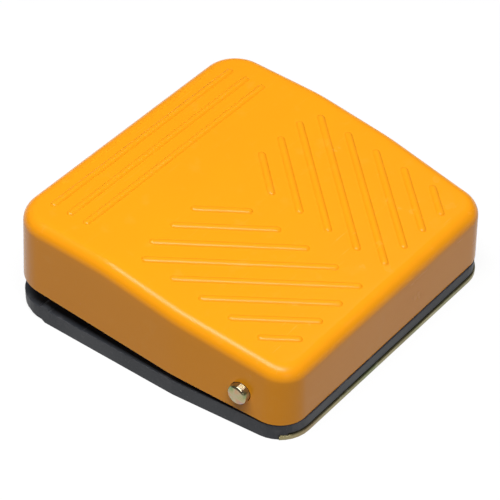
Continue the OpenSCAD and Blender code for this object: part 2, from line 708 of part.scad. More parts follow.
module cable_clamp() color(zinc) difference() {
    union() {
        translate([-clamp_half, clamp_y - clamp_w / 2, clamp_seat_z])
            cube([2 * clamp_half, clamp_w, clamp_t]);
        translate([0, clamp_y, cable_z]) rotate([90, 0, 0])
            cylinder(h = clamp_w, d = cable_d + 2 * clamp_t + 0.2, center = true);
    }
    translate([0, clamp_y, cable_z]) rotate([90, 0, 0])
        cylinder(h = clamp_w + 2, d = cable_d + 0.2, center = true);
    translate([-cable_d, clamp_y - clamp_w / 2 - 1, cable_z - cable_d])
        cube([2 * cable_d, clamp_w + 2, clamp_seat_z - cable_z + cable_d]);
    for (p = clamp_screw_at) translate([p[0], p[1], 0]) cylinder(h = 20, d = screw_d + 0.3);
}

module clamp_screws() color(steel) for (p = clamp_screw_at)
    translate([p[0], p[1], clamp_seat_z + clamp_t]) pan_screw(clamp_t + 4.5);

module earth_tab() color(brass) difference() {
    union() {
        translate([earth_at[0], earth_at[1], plate_t]) cylinder(h = 0.8, d = 7);
        translate([earth_at[0] + 2, earth_at[1] - 1.6, plate_t]) cube([2.4, 3.2, 0.8]);
    }
    translate([earth_at[0], earth_at[1], 0]) cylinder(h = 4, d = screw_d + 0.3);
}

module earth_screw() color(steel) translate([earth_at[0], earth_at[1], plate_t + 0.8])
    pan_screw(plate_t + 0.7);

module plate_screws() color(steel) mirror_x() for (p = plate_screw_at)
    translate([p[0], p[1], 0]) difference() {
    union() {
        translate([0, 0, 0.05]) cylinder(h = plate_t - 0.15, d1 = 5.6, d2 = screw_d);
        cylinder(h = ledge_z, d = tap_d);
    }
    for (a = [0, 90]) rotate([0, 0, a]) translate([-1.4, -0.3, -1]) cube([2.8, 0.6, 1.6]);
}

pedal_cover();
base_tray();
base_plate();
hinge_pin();
pin_clips();
thrust_washers();
return_spring_left();
return_spring_right();
switch_case();
switch_lid();
switch_plunger();
contact_blade();
common_terminal();
open_terminal();
closed_terminal();
switch_lever();
lever_pin();
switch_screws();
switch_nuts();
switch_bracket();
bracket_screws();
adjusting_screw();
adjusting_nut();
cable_grommet();
cable_clamp();
clamp_screws();
earth_tab();
earth_screw();
plate_screws();
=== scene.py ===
import json
import math

import bmesh
import bpy
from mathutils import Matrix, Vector

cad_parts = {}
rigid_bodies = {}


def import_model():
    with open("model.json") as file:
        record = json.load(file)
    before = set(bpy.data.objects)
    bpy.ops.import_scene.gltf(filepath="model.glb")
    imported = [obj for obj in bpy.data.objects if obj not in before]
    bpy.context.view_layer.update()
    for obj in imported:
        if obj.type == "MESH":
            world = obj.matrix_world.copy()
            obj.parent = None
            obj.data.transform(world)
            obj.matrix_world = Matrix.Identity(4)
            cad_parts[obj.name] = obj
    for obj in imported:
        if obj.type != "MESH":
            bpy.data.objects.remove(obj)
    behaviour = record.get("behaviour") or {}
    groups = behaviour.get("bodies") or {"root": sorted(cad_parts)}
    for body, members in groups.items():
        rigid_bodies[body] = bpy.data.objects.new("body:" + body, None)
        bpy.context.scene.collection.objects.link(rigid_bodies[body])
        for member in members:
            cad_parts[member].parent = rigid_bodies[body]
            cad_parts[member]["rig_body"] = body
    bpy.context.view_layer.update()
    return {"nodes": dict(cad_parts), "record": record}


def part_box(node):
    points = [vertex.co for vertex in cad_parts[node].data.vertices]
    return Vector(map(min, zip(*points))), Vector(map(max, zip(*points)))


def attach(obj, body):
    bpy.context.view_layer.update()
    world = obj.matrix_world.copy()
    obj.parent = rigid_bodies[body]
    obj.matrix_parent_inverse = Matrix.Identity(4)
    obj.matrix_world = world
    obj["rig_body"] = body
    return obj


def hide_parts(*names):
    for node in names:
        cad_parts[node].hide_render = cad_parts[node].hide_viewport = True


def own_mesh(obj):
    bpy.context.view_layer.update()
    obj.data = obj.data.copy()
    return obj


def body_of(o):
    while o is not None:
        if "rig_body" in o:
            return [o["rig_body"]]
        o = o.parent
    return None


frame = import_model()
MM = 0.001
scene = bpy.context.scene
scene.view_settings.view_transform = "Standard"


# ---------------------------------------------------------------- standpoint
# The switch is seen from above its heel corner, through a long lens, so that
# the tread, the hinge side and the heel all show.
VIEW_AZIMUTH = math.radians(-51.94)
VIEW_ELEVATION = math.radians(40.83)
FOCAL_OVER_FRAME = 4.9493
VIEW_DISTANCE = 0.5809
SHIFT_LEFT, SHIFT_DOWN = 0.71, 4.48
SENSOR = 36.0

toward = Vector((
    math.sin(VIEW_AZIMUTH) * math.cos(VIEW_ELEVATION),
    -math.cos(VIEW_AZIMUTH) * math.cos(VIEW_ELEVATION),
    math.sin(VIEW_ELEVATION),
))
rightward = Vector((math.cos(VIEW_AZIMUTH), math.sin(VIEW_AZIMUTH), 0))
upward = toward.cross(rightward)
look_at = Vector((0, -0.4, 16)) * MM
camera_data = bpy.data.cameras.new("camera")
camera_data.sensor_width = SENSOR
camera_data.lens = SENSOR * FOCAL_OVER_FRAME
camera_data.clip_start = 0.01
camera = bpy.data.objects.new("camera", camera_data)
scene.collection.objects.link(camera)
camera.location = (look_at + toward * VIEW_DISTANCE - rightward * SHIFT_LEFT * MM
                   - upward * SHIFT_DOWN * MM)
camera.rotation_euler = toward.to_track_quat("Z", "Y").to_euler()
scene.camera = camera


# ---------------------------------------------------------------- studio
# A white table under one soft lamp that hangs over the heel, with two weak ones,
# low in front and behind. The table is white to the eye and holds a soft shadow.
def new_material(name):
    material = bpy.data.materials.new(name)
    material.use_nodes = True
    material.node_tree.nodes.clear()
    return material


def add(tree, kind, sockets=None, **settings):
    """Adds a node. Sockets gives its inputs by name or number, as values or as outputs to link."""
    node = tree.nodes.new(kind)
    node.location = (200 * len(tree.nodes), 0)
    for key, value in settings.items():
        setattr(node, key, value)
    for key, value in (sockets or {}).items():
        if isinstance(value, bpy.types.NodeSocket):
            tree.links.new(value, node.inputs[key])
        else:
            node.inputs[key].default_value = value
    return node


def seen_directly(tree):
    """1 where the eye, a mirror or a clear body sees the surface, 0 where it lights other things."""
    path = add(tree, "ShaderNodeLightPath")
    either = add(tree, "ShaderNodeMath",
                 {0: path.outputs["Is Camera Ray"], 1: path.outputs["Is Glossy Ray"]},
                 operation="MAXIMUM")
    clear = add(tree, "ShaderNodeMath", {0: either.outputs[0], 1: path.outputs["Is Transmission Ray"]},
                operation="MAXIMUM")
    return clear.outputs[0]


table_paint = new_material("table_white")
tree = table_paint.node_tree
board = add(tree, "ShaderNodeBsdfDiffuse", {"Color": (0.1, 0.1, 0.1, 1)})
white = add(tree, "ShaderNodeEmission", {"Color": (1, 1, 1, 1), "Strength": 0.9})
shaded = add(tree, "ShaderNodeAddShader", {0: board.outputs[0], 1: white.outputs[0]})
mix = add(tree, "ShaderNodeMixShader",
          {0: seen_directly(tree), 1: board.outputs[0], 2: shaded.outputs[0]})
side = add(tree, "ShaderNodeNewGeometry")
clear = add(tree, "ShaderNodeBsdfTransparent")
whole = add(tree, "ShaderNodeMixShader",
            {0: side.outputs["Backfacing"], 1: mix.outputs[0], 2: clear.outputs[0]})
add(tree, "ShaderNodeOutputMaterial", {0: whole.outputs[0]})

# The table's top lies a hair below the plate, and from below it is clear.
half, top = 3.0, -0.00005
corners = [(-half, -half, top), (half, -half, top), (half, half, top), (-half, half, top)]
table_mesh = bpy.data.meshes.new("table")
table_mesh.from_pydata(corners, [], [(0, 1, 2, 3)])
table_mesh.materials.append(table_paint)
table = bpy.data.objects.new("table", table_mesh)
scene.collection.objects.link(table)

world = bpy.data.worlds.new("studio")
world.use_nodes = True
tree = world.node_tree
tree.nodes.clear()
room = add(tree, "ShaderNodeBackground", {"Color": (1, 1, 1, 1), "Strength": 0.1})
backdrop = add(tree, "ShaderNodeBackground", {"Color": (1, 1, 1, 1), "Strength": 1.0})
path = add(tree, "ShaderNodeLightPath")
mix = add(tree, "ShaderNodeMixShader",
          {0: path.outputs["Is Camera Ray"], 1: room.outputs[0], 2: backdrop.outputs[0]})
add(tree, "ShaderNodeOutputWorld", {0: mix.outputs[0]})
scene.world = world


def soft_lamp(name, place, aim, size, power):
    data = bpy.data.lights.new(name, "AREA")
    data.shape = "RECTANGLE"
    data.size, data.size_y = size
    data.energy = power
    lamp = bpy.data.objects.new(name, data)
    lamp.location = place
    lamp.rotation_euler = (Vector(place) - Vector(aim)).to_track_quat("Z", "Y").to_euler()
    scene.collection.objects.link(lamp)


soft_lamp("lamp_over_heel", (-0.24, -0.16, 0.9), (-0.24, -0.16, 0), (0.36, 0.92), 12.2)
soft_lamp("lamp_low", (-0.45, -0.95, 0.4), (0, 0, 0), (0.3, 0.3), 0.45)
soft_lamp("lamp_behind", (0.66, 0.1, 0.9), (0, 0, 0), (0.12, 0.12), 0.12)


# ---------------------------------------------------------------- base plate
# The bottom is a pressed steel plate, zinc plated and yellow passivated, with
# two upright ears for the hinge pin. Its heel edge shows below the tray.
def new_group(name, inputs, outputs):
    """An empty shader group with its named sockets. Gives the tree, what comes in and what goes out."""
    group = bpy.data.node_groups.new(name, "ShaderNodeTree")
    for label, kind, value in inputs:
        socket = group.interface.new_socket(label, in_out="INPUT", socket_type=kind)
        if value is not None:
            socket.default_value = value
    for label, kind in outputs:
        group.interface.new_socket(label, in_out="OUTPUT", socket_type=kind)
    return group, group.nodes.new("NodeGroupInput").outputs, group.nodes.new("NodeGroupOutput").inputs


NUMBER, VECTOR = "NodeSocketFloat", "NodeSocketVector"


def tint(tree, share, first, second):
    """A colour between two others."""
    return add(tree, "ShaderNodeMix", {0: share, 6: first, 7: second}, data_type="RGBA").outputs[2]


# Fine grain and slow clouds, as a mould or a rolled sheet leaves on a surface.
surface_grain, given, result = new_group(
    "surface_grain", [("Place", VECTOR, None), ("Fineness", NUMBER, 3000.0), ("Patch", NUMBER, 60.0)],
    [("Height", NUMBER), ("Cloud", NUMBER)])
fine = add(surface_grain, "ShaderNodeTexNoise",
           {"Vector": given["Place"], "Scale": given["Fineness"], "Detail": 2.0, "Roughness": 0.55})
slow = add(surface_grain, "ShaderNodeTexNoise",
           {"Vector": given["Place"], "Scale": given["Patch"], "Detail": 3.0, "Roughness": 0.5})
even = add(surface_grain, "ShaderNodeMapRange", {0: slow.outputs["Fac"], 1: 0.33, 2: 0.67})
surface_grain.links.new(fine.outputs["Fac"], result["Height"])
surface_grain.links.new(even.outputs[0], result["Cloud"])

# Thin scratches and small rubbed spots, as a mask.
light_scuffs, given, result = new_group(
    "light_scuffs", [("Place", VECTOR, None), ("Amount", NUMBER, 0.3)], [("Mask", NUMBER)])
drawn = add(light_scuffs, "ShaderNodeMapping", {"Vector": given["Place"], "Rotation": (0.2, 0.3, 0.7),
                                                "Scale": (90.0, 1500.0, 700.0)})
strokes = add(light_scuffs, "ShaderNodeTexNoise",
              {"Vector": drawn.outputs[0], "Scale": 1.0, "Detail": 2.0})
spots = add(light_scuffs, "ShaderNodeTexNoise",
            {"Vector": given["Place"], "Scale": 210.0, "Detail": 4.0})
stroke = add(light_scuffs, "ShaderNodeMapRange", {0: strokes.outputs["Fac"], 1: 0.66, 2: 0.72})
spot = add(light_scuffs, "ShaderNodeMapRange", {0: spots.outputs["Fac"], 1: 0.6, 2: 0.7})
both = add(light_scuffs, "ShaderNodeMath", {0: stroke.outputs[0], 1: spot.outputs[0]},
           operation="MAXIMUM")
scaled = add(light_scuffs, "ShaderNodeMath", {0: both.outputs[0], 1: given["Amount"]},
             operation="MULTIPLY")
light_scuffs.links.new(scaled.outputs[0], result["Mask"])

# Rounded edges as a normal, and a broken line of wear along them as a mask.
rubbed_edges, given, result = new_group(
    "rubbed_edges", [("Place", VECTOR, None), ("Width", NUMBER, 0.0003), ("Amount", NUMBER, 0.5)],
    [("Mask", NUMBER), ("Normal", VECTOR)])
rounded = add(rubbed_edges, "ShaderNodeBevel", {"Radius": given["Width"]}, samples=4)
true_face = add(rubbed_edges, "ShaderNodeNewGeometry")
alike = add(rubbed_edges, "ShaderNodeVectorMath",
            {0: rounded.outputs[0], 1: true_face.outputs["True Normal"]}, operation="DOT_PRODUCT")
bend = add(rubbed_edges, "ShaderNodeMapRange", {0: alike.outputs["Value"], 1: 0.99, 2: 0.85})
broken = add(rubbed_edges, "ShaderNodeTexNoise", {"Vector": given["Place"], "Scale": 900.0, "Detail": 3.0})
line = add(rubbed_edges, "ShaderNodeMapRange", {0: broken.outputs["Fac"], 1: 0.42, 2: 0.62})
worn = add(rubbed_edges, "ShaderNodeMath", {0: bend.outputs[0], 1: line.outputs[0]}, operation="MULTIPLY")
scaled = add(rubbed_edges, "ShaderNodeMath", {0: worn.outputs[0], 1: given["Amount"]}, operation="MULTIPLY")
rubbed_edges.links.new(scaled.outputs[0], result["Mask"])
rubbed_edges.links.new(rounded.outputs[0], result["Normal"])


def surface(name, color, cloud, worn, gloss, fineness, depth, scuffs=0.3, wear=0.5, edge=0.0002,
            patch=60.0, metallic=0.0, specular=0.5, bands=None, banding=0.45):
    """A solid finish: two clouded colours, a roughness range, grain, scuffs and rubbed edges."""
    material = new_material(name)
    tree = material.node_tree
    place = add(tree, "ShaderNodeTexCoord").outputs["Object"]
    grain = add(tree, "ShaderNodeGroup", {"Place": place, "Fineness": fineness, "Patch": patch},
                node_tree=surface_grain)
    marks = add(tree, "ShaderNodeGroup", {"Place": place, "Amount": scuffs}, node_tree=light_scuffs)
    edges = add(tree, "ShaderNodeGroup", {"Place": place, "Width": edge, "Amount": wear},
                node_tree=rubbed_edges)
    shade = tint(tree, grain.outputs["Cloud"], (*color, 1), (*cloud, 1))
    # A passivated surface shows green, straw, rose and violet in turn.
    if bands:
        waves = add(tree, "ShaderNodeTexNoise", {"Vector": place, "Scale": bands, "Detail": 2.0})
        ramp = add(tree, "ShaderNodeValToRGB", {0: waves.outputs["Fac"]})
        stops = ((0.34, (0.16, 0.30, 0.13)), (0.45, (0.42, 0.36, 0.17)), (0.52, (0.46, 0.40, 0.24)),
                 (0.60, (0.55, 0.30, 0.17)), (0.68, (0.32, 0.26, 0.34)))
        while len(ramp.color_ramp.elements) < len(stops):
            ramp.color_ramp.elements.new(0.5)
        for element, (at, rgb) in zip(ramp.color_ramp.elements, stops):
            element.position = at
            element.color = (*rgb, 1)
        shade = tint(tree, banding, shade, ramp.outputs[0])
    shade = tint(tree, marks.outputs["Mask"], shade, (*worn, 1))
    shade = tint(tree, edges.outputs["Mask"], shade, (*worn, 1))
    dull = add(tree, "ShaderNodeMapRange", {0: grain.outputs["Cloud"], 3: gloss[0], 4: gloss[1]})
    rough = add(tree, "ShaderNodeMath", {0: marks.outputs["Mask"], 1: 0.25, 2: dull.outputs[0]},
                operation="MULTIPLY_ADD", use_clamp=True)
    relief = add(tree, "ShaderNodeBump", {"Strength": 0.6, "Distance": depth,
                                          "Height": grain.outputs["Height"],
                                          "Normal": edges.outputs["Normal"]})
    skin = add(tree, "ShaderNodeBsdfPrincipled", {"Base Color": shade, "Roughness": rough.outputs[0],
                                                  "Metallic": metallic, "Specular IOR Level": specular,
                                                  "Normal": relief.outputs[0]})
    add(tree, "ShaderNodeOutputMaterial", {0: skin.outputs[0]})
    return material


def merged(node):
    """A joined-up copy of a CAD node's loose triangles, with its flat faces whole again."""
    work = bmesh.new()
    work.from_mesh(frame["nodes"][node].data)
    bmesh.ops.remove_doubles(work, verts=work.verts, dist=2e-6)
    bmesh.ops.dissolve_limit(work, angle_limit=math.radians(0.5), verts=work.verts, edges=work.edges)
    return work


def put(name, work, finish, body, stands_for=(), sharp=35):
    """Makes the mesh an object of its own, smooth but for its sharp edges, and ties it to its body."""
    mesh = bpy.data.meshes.new(name)
    work.to_mesh(mesh)
    work.free()
    mesh.polygons.foreach_set("use_smooth", [True] * len(mesh.polygons))
    mesh.set_sharp_from_angle(angle=math.radians(sharp))
    mesh.materials.clear()
    mesh.materials.append(finish)
    piece = bpy.data.objects.new(name, mesh)
    scene.collection.objects.link(piece)
    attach(piece, body)
    if stands_for:
        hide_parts(*stands_for)
    return piece


def eased(node, finish, round_over):
    """A CAD node with its sharp edges rounded over, in its place."""
    work = merged(node)
    edges = [e for e in work.edges if len(e.link_faces) == 2 and e.calc_face_angle() > math.radians(30)]
    bmesh.ops.bevel(work, geom=edges, offset=round_over * MM, segments=2, profile=0.5, affect="EDGES",
                    clamp_overlap=False)
    body = body_of(frame["nodes"][node])[0]
    return put(node + "_finished", work, finish, body, (node,), sharp=25)


def as_built(node, finish):
    """A CAD node whose shape stays, in its finish."""
    item = frame["nodes"][node]
    item.data.materials.clear()
    item.data.materials.append(finish)


yellow_zinc = surface("yellow_zinc", (0.26, 0.225, 0.105), (0.19, 0.17, 0.08), (0.48, 0.47, 0.36),
                      (0.26, 0.42), 2600, 0.00001, scuffs=0.5, wear=0.6, patch=90, metallic=0.85,
                      bands=38, banding=0.26)
eased("base_plate", yellow_zinc, 0.15)


# ---------------------------------------------------------------- base tray
# The tray is a satin graphite moulding with a ledge all round, on which the
# cover comes down. It is screwed to the plate, and only its rim shows.
graphite = surface("graphite_satin", (0.031, 0.034, 0.041), (0.038, 0.041, 0.048), (0.14, 0.14, 0.15),
                   (0.38, 0.52), 2400, 0.00003, scuffs=0.4, wear=0.6, edge=0.0003, specular=0.3)
as_built("base_tray", graphite)


# ---------------------------------------------------------------- plate screws, earth
# Countersunk steel screws hold the plate to the tray, and a brass tab under a
# pan-head screw takes the protective earth.
bright_steel = surface("bright_steel", (0.56, 0.57, 0.58), (0.47, 0.48, 0.49), (0.75, 0.75, 0.76),
                       (0.18, 0.34), 3800, 0.000006, scuffs=0.35, wear=0.5, patch=220, metallic=1.0)
brass = surface("brass_strip", (0.62, 0.42, 0.15), (0.50, 0.33, 0.12), (0.80, 0.62, 0.32), (0.2, 0.38),
                3200, 0.000008, scuffs=0.4, wear=0.5, patch=180, metallic=1.0)
as_built("plate_screws", bright_steel)
eased("earth_tab", brass, 0.1)
eased("earth_screw", bright_steel, 0.12)


# ---------------------------------------------------------------- return springs
# Two springs of hard-drawn steel wire stand in cups in the tray and push the
# cover up. Their end turns are closed.
def swept_bar_tree():
    """A bar along its guide line, with an oval section that the guide's taper makes smaller."""
    tree = bpy.data.node_groups.new("swept_bar", "GeometryNodeTree")
    face = tree.interface
    face.new_socket("Guide", in_out="INPUT", socket_type="NodeSocketGeometry")
    for label, kind in (("Width", "NodeSocketFloat"), ("Height", "NodeSocketFloat"),
                        ("Sides", "NodeSocketInt"), ("Finish", "NodeSocketMaterial")):
        face.new_socket(label, in_out="INPUT", socket_type=kind)
    face.new_socket("Bar", in_out="OUTPUT", socket_type="NodeSocketGeometry")
    given = tree.nodes.new("NodeGroupInput").outputs
    line = add(tree, "GeometryNodeMeshToCurve", {"Mesh": given["Guide"]})
    level = add(tree, "GeometryNodeSetCurveNormal", {"Curve": line.outputs[0]}, mode="Z_UP")
    circle = add(tree, "GeometryNodeCurvePrimitiveCircle", {"Resolution": given["Sides"], "Radius": 0.5})
    size = add(tree, "ShaderNodeCombineXYZ", {0: given["Width"], 1: given["Height"], 2: 1.0})
    section = add(tree, "GeometryNodeTransform", {"Geometry": circle.outputs[0], "Scale": size.outputs[0]})
    taper = add(tree, "GeometryNodeInputNamedAttribute", {"Name": "taper"}, data_type="FLOAT")
    bar = add(tree, "GeometryNodeCurveToMesh",
              {"Curve": level.outputs[0], "Profile Curve": section.outputs[0],
               "Scale": taper.outputs[0], "Fill Caps": True})
    smooth = add(tree, "GeometryNodeSetShadeSmooth", {"Geometry": bar.outputs[0]})
    whole = add(tree, "GeometryNodeRealizeInstances", {"Geometry": smooth.outputs[0]})
    done = add(tree, "GeometryNodeSetMaterial",
               {"Geometry": whole.outputs[0], "Material": given["Finish"]})
    tree.links.new(done.outputs[0], tree.nodes.new("NodeGroupOutput").inputs[0])
    return tree


swept_bar = swept_bar_tree()


def swept(name, guides, width, height, sides, finish, body, stands_for=()):
    """Bars along guides, each a list of (point in metres, taper), as one mesh made by swept_bar."""
    points, edges, tapers = [], [], []
    for guide in guides:
        start = len(points)
        points += [p for p, _ in guide]
        tapers += [t for _, t in guide]
        edges += [(start + i, start + i + 1) for i in range(len(guide) - 1)]
    mesh = bpy.data.meshes.new(name + "_guide")
    mesh.from_pydata(points, edges, [])
    mesh.attributes.new("taper", "FLOAT", "POINT").data.foreach_set("value", tapers)
    guide_object = bpy.data.objects.new(name + "_guide", mesh)
    scene.collection.objects.link(guide_object)
    sweep = guide_object.modifiers.new("sweep", "NODES")
    sweep.node_group = swept_bar
    sizes = {"Width": width * MM, "Height": height * MM, "Sides": sides, "Finish": finish}
    for item in swept_bar.interface.items_tree:
        if item.in_out == "INPUT" and item.name in sizes:
            sweep[item.identifier] = sizes[item.name]
    seen = guide_object.evaluated_get(bpy.context.evaluated_depsgraph_get())
    made = bpy.data.meshes.new_from_object(seen)
    bpy.data.objects.remove(guide_object)
    work = bmesh.new()
    work.from_mesh(made)
    bmesh.ops.recalc_face_normals(work, faces=work.faces)
    return put(name, work, finish, body, stands_for, sharp=60)


spring_wire = surface("spring_wire", (0.42, 0.43, 0.45), (0.33, 0.34, 0.36), (0.62, 0.62, 0.63),
                      (0.2, 0.34), 4200, 0.000005, scuffs=0.3, wear=0.2, patch=260, metallic=1.0)
spring = {"wire": 1.0, "turns": 7, "steps": 32, "kept": 0.826}
for side in ("left", "right"):
    node = "return_spring_" + side
    low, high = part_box(node)
    x, y = (low[0] + high[0]) / 2, (low[1] + high[1]) / 2
    wire = spring["wire"] * MM
    radius = (high[0] - low[0] - wire) / 2
    foot, head = low[2] + wire / 2, high[2] - wire / 2
    climb = head - foot - 2 * wire
    guide = []
    for i in range(spring["turns"] * spring["steps"] + 1):
        t = i / spring["steps"]
        rise = min(t, 1) * wire + climb * min(max(t - 1, 0), spring["turns"] - 2) / (spring["turns"] - 2)
        rise += max(t - spring["turns"] + 1, 0) * wire
        a = 2 * math.pi * t
        guide.append(((x + radius * math.cos(a), y + radius * math.sin(a), foot + rise), 1.0))
    coil = swept(node + "_wire", [guide], spring["wire"], spring["wire"], 10, spring_wire, "base",
                 (node,))
    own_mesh(coil)


# ---------------------------------------------------------------- microswitch
# A lever microswitch: a black case with a maroon lid, a red plunger, brass
# contacts and a bent steel lever, screwed to a zinc-plated bracket.
black_case = surface("black_case", (0.018, 0.018, 0.020), (0.025, 0.025, 0.027), (0.08, 0.08, 0.08),
                     (0.36, 0.5), 2800, 0.00003, scuffs=0.3, wear=0.5)
maroon_lid = surface("maroon_lid", (0.15, 0.028, 0.022), (0.12, 0.022, 0.018), (0.28, 0.10, 0.08),
                     (0.34, 0.48), 2800, 0.00002, scuffs=0.3, wear=0.5)
red_plunger = surface("red_plunger", (0.48, 0.038, 0.028), (0.42, 0.03, 0.024), (0.6, 0.16, 0.12),
                      (0.3, 0.42), 3000, 0.00001, scuffs=0.2, wear=0.4)
as_built("switch_case", black_case)
eased("switch_lid", maroon_lid, 0.1)
eased("switch_plunger", red_plunger, 0.12)
for node in ("contact_blade", "open_terminal", "closed_terminal"):
    as_built(node, brass)
eased("common_terminal", brass, 0.08)
eased("switch_lever", bright_steel, 0.08)
for node in ("lever_pin", "switch_screws", "switch_nuts", "bracket_screws"):
    eased(node, bright_steel, 0.1)
eased("switch_bracket", yellow_zinc, 0.12)


# ---------------------------------------------------------------- cable inlet
# A black rubber grommet sits in the tray's gate, and a zinc-plated bridge with
# two screws holds the cable behind it.
black_rubber = surface("black_rubber", (0.017, 0.017, 0.017), (0.024, 0.024, 0.024), (0.06, 0.06, 0.06),
                       (0.6, 0.78), 1800, 0.00005, scuffs=0.25, wear=0.3)
eased("cable_grommet", black_rubber, 0.2)
eased("cable_clamp", yellow_zinc, 0.12)
eased("clamp_screws", bright_steel, 0.12)


# ---------------------------------------------------------------- hinge pin
# A turned steel pin, zinc plated, passes through the plate's ears and the
# cover. Washers stand between them, and a clip in a groove holds each side.
def turned(work, profile, place, steps=72):
    """Turns (radius, along) points about an axis: a closed loop, or a line from axis to axis.

    place puts (a, b, along) in the world.
    """
    rings = []
    for radius, along in profile:
        if radius <= 0:
            rings.append([work.verts.new(place(0, 0, along))])
            continue
        rings.append([work.verts.new(place(radius * math.cos(2 * math.pi * i / steps),
                                           radius * math.sin(2 * math.pi * i / steps), along))
                      for i in range(steps)])
    closed = profile[0][0] > 0
    for k in range(len(rings) if closed else len(rings) - 1):
        low, high = rings[k], rings[(k + 1) % len(rings)]
        for i in range(steps):
            j = (i + 1) % steps
            corners = [low[i % len(low)], low[j % len(low)], high[j % len(high)], high[i % len(high)]]
            work.faces.new(list(dict.fromkeys(corners)))


pin_low, pin_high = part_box("hinge_pin")
pin_end, pin_r = pin_high[0] / MM, (pin_high[2] - pin_low[2]) / 2 / MM
pin_y, pin_z = (pin_low[1] + pin_high[1]) / 2 / MM, (pin_low[2] + pin_high[2]) / 2 / MM
clip_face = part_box("pin_clips")[1][0] / MM
# The groove is a little wider than its clip.
groove_depth, groove_out, groove_in = 0.5, clip_face + 0.05, clip_face - 0.65
half_pin = [(0, pin_end), (pin_r - 0.48, pin_end), (pin_r - 0.40, pin_end - 0.02),
            (pin_r - 0.03, pin_end - 0.37), (pin_r, pin_end - 0.45), (pin_r, groove_out),
            (pin_r - groove_depth, groove_out), (pin_r - groove_depth, groove_in), (pin_r, groove_in)]
work = bmesh.new()
turned(work, half_pin + [(r, -x) for r, x in reversed(half_pin)],
       lambda a, b, x: (x * MM, (pin_y + a) * MM, (pin_z + b) * MM), 96)
bmesh.ops.recalc_face_normals(work, faces=work.faces)
pin_zinc = surface("pin_zinc", (0.26, 0.26, 0.17), (0.20, 0.22, 0.14), (0.60, 0.60, 0.52), (0.16, 0.28),
                   3600, 0.000006, scuffs=0.35, wear=0.4, patch=200, metallic=0.95, bands=260, banding=0.8)
put("hinge_pin_turned", work, pin_zinc, "base", ("hinge_pin",))
eased("pin_clips", spring_wire, 0.1)
eased("thrust_washers", bright_steel, 0.1)


# ---------------------------------------------------------------- pedal cover
# The amber cover is one glossy injection moulding: a wedge with drafted sides
# and rounded top edges. It hangs on the hinge pin and stands open at the toe.
hinge = next(j for j in frame["record"]["behaviour"]["joints"] if j["name"] == "pedal_hinge")
REST_TILT = math.radians(hinge["range_deg"][1])

cover = {
    "heel_w": 78.8, "waist_w": 83.9, "toe_w": 83.4, "waist_from_heel": 31.0, "length": 81.2,
    "pin_from_heel": 12.3, "edge_drop": 5.6, "heel_h": 15.5, "bend_h": 20.0, "toe_h": 18.9,
    "bend_from_heel": 52.1, "heel_r": 7.6, "toe_r": 9.7, "edge_r": 3.4, "draft": 0.5,
    "wall": 1.8, "roof": 2.4, "waist_soft": 0.5, "bend_soft": 0.35,
    "heel_lean": math.radians(1.3), "toe_lean": math.radians(2.4), "lean_from": 16.0,
}


def blend(a, b, soft):
    """Smooth minimum of two straight lines, rounded over the length soft."""
    k = max(soft - abs(a - b), 0) / soft
    return min(a, b) - k * k * soft / 4


def half_width(y):
    c, waist = cover, cover["waist_from_heel"]
    before = c["heel_w"] + (c["waist_w"] - c["heel_w"]) * y / waist
    after = c["waist_w"] + (c["toe_w"] - c["waist_w"]) * (y - waist) / (c["length"] - waist)
    return blend(before, after, c["waist_soft"]) / 2


def top_height(y):
    c, bend = cover, cover["bend_from_heel"]
    before = c["heel_h"] + (c["bend_h"] - c["heel_h"]) * y / bend
    after = c["bend_h"] + (c["toe_h"] - c["bend_h"]) * (y - bend) / (c["length"] - bend)
    return blend(before, after, c["bend_soft"])


def outline(inset, arc_steps=20, side_steps=60):
    """Plan outline of the cover, anticlockwise from the middle of the heel, moved in by inset."""
    c = cover
    right = []
    heel_y, toe_y = c["heel_r"], c["length"] - c["toe_r"]
    heel_x, toe_x = half_width(heel_y) - c["heel_r"], half_width(toe_y) - c["toe_r"]
    for i in range(12):
        right.append((heel_x * i / 12, inset))
    for i in range(arc_steps):
        a = -math.pi / 2 + math.pi / 2 * i / arc_steps
        r = c["heel_r"] - inset
        right.append((heel_x + r * math.cos(a), heel_y + r * math.sin(a)))
    for i in range(side_steps):
        y = heel_y + (toe_y - heel_y) * i / side_steps
        right.append((half_width(y) - inset, y))
    for i in range(arc_steps):
        a = math.pi / 2 * i / arc_steps
        r = c["toe_r"] - inset
        right.append((toe_x + r * math.cos(a), toe_y + r * math.sin(a)))
    for i in range(12):
        right.append((toe_x * (12 - i) / 12, c["length"] - inset))
    left = [(-x, y) for x, y in reversed(right[1:])]
    return right + [(0, c["length"] - inset)] + left


def shell_loops(wall, roof, radius, start_z):
    """Loops from the lower edge up the side, round the top edge and across the top."""
    c = cover
    loops = []
    rise = 10
    for i in range(rise + 1):
        t = i / rise
        loop = []
        for x, y in outline(wall + c["draft"] * t):
            z = start_z + (top_height(y) - roof - radius - start_z) * t
            loop.append((x, y, z))
        loops.append(loop)
    turn = 12
    for i in range(1, turn + 1):
        a = math.pi / 2 * i / turn
        loop = []
        for x, y in outline(wall + c["draft"] + radius * (1 - math.cos(a))):
            loop.append((x, y, top_height(y) - roof - radius + radius * math.sin(a)))
        loops.append(loop)
    rim = loops[-1]
    across = 36
    for i in range(1, across):
        t = 1 - i / across
        loop = []
        for x, y, _ in rim:
            yy = c["length"] / 2 + (y - c["length"] / 2) * t
            loop.append((x * t, yy, top_height(yy) - roof))
        loops.append(loop)
    return loops


def tilted(point):
    """From cover sizes, heel edge at y 0 and lower edge at z 0, to the resting place in metres."""
    x, y, z = point
    y -= cover["pin_from_heel"]
    z -= cover["edge_drop"]
    s, k = math.sin(REST_TILT), math.cos(REST_TILT)
    return (x * MM, (pin_y + y * k - z * s) * MM, (pin_z + y * s + z * k) * MM)


